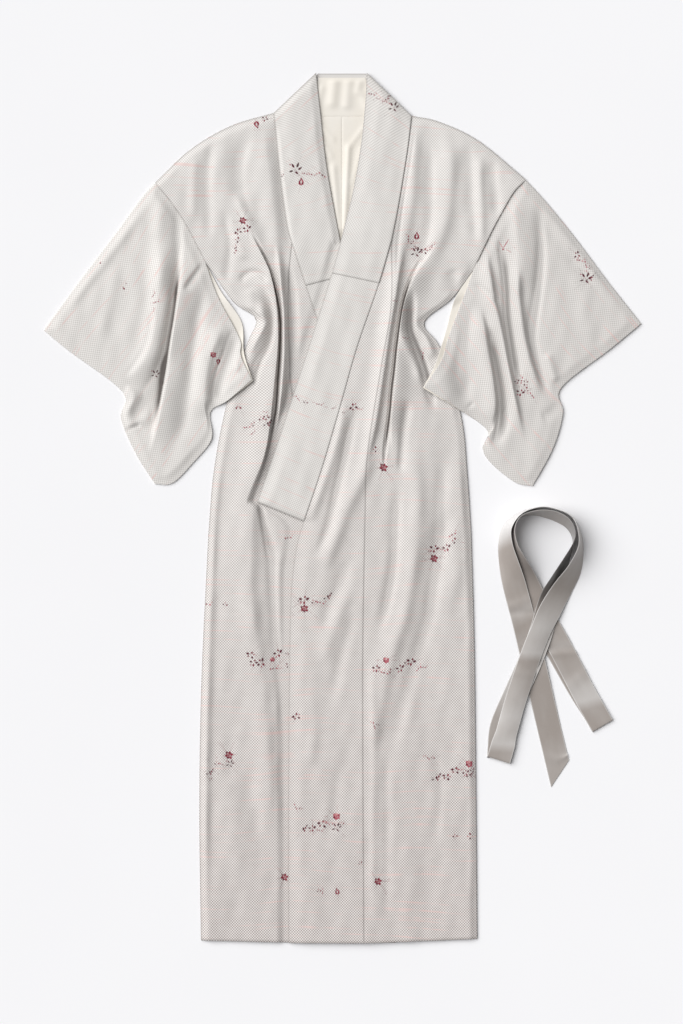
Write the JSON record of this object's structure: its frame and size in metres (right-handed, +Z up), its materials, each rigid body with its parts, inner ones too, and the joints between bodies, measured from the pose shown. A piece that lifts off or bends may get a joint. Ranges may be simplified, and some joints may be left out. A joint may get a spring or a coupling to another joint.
{
  "type": "kimono robe",
  "caption": "Lined kimono robe laid flat on its back, left front over right, wide collar and open square sleeves, with its narrow satin tie belt lying beside it.",
  "frame": {"origin": "centre of the laid-out robe and belt in plan, at the surface they lie on", "axes": "+Y along the robe from hem to collar, +X to the wearer's left where the belt lies, +Z up away from the surface"},
  "size_m": [1.1946, 1.7387, 0.047],
  "materials": {
    "back_left": "fine patterned crepe weave",
    "back_right": "fine patterned crepe weave",
    "belt": "satin",
    "collar_back": "fine patterned crepe weave",
    "collar_back_lining": "smooth plain weave",
    "collar_left": "fine patterned crepe weave",
    "collar_right": "fine patterned crepe weave",
    "front_left": "fine patterned crepe weave",
    "front_right": "fine patterned crepe weave",
    "lining_left": "smooth plain weave",
    "lining_right": "smooth plain weave",
    "okumi_left": "fine patterned crepe weave",
    "okumi_right": "fine patterned crepe weave",
    "over_collar_left": "fine patterned crepe weave",
    "over_collar_right": "fine patterned crepe weave",
    "sleeve_left": "fine patterned crepe weave",
    "sleeve_right": "fine patterned crepe weave",
    "sleeve_lining_left": "smooth plain weave",
    "sleeve_lining_right": "smooth plain weave"
  },
  "bodies": {
    "root": {"back_left": "back_left", "back_right": "back_right", "belt": "belt", "collar_back": "collar_back", "collar_back_lining": "collar_back_lining", "collar_left": "collar_left", "collar_right": "collar_right", "front_left": "front_left", "front_right": "front_right", "lining_left": "lining_left", "lining_right": "lining_right", "okumi_left": "okumi_left", "okumi_right": "okumi_right", "over_collar_left": "over_collar_left", "over_collar_right": "over_collar_right", "sleeve_left": "sleeve_left", "sleeve_right": "sleeve_right", "sleeve_lining_left": "sleeve_lining_left", "sleeve_lining_right": "sleeve_lining_right"}
  },
  "joints": []
}
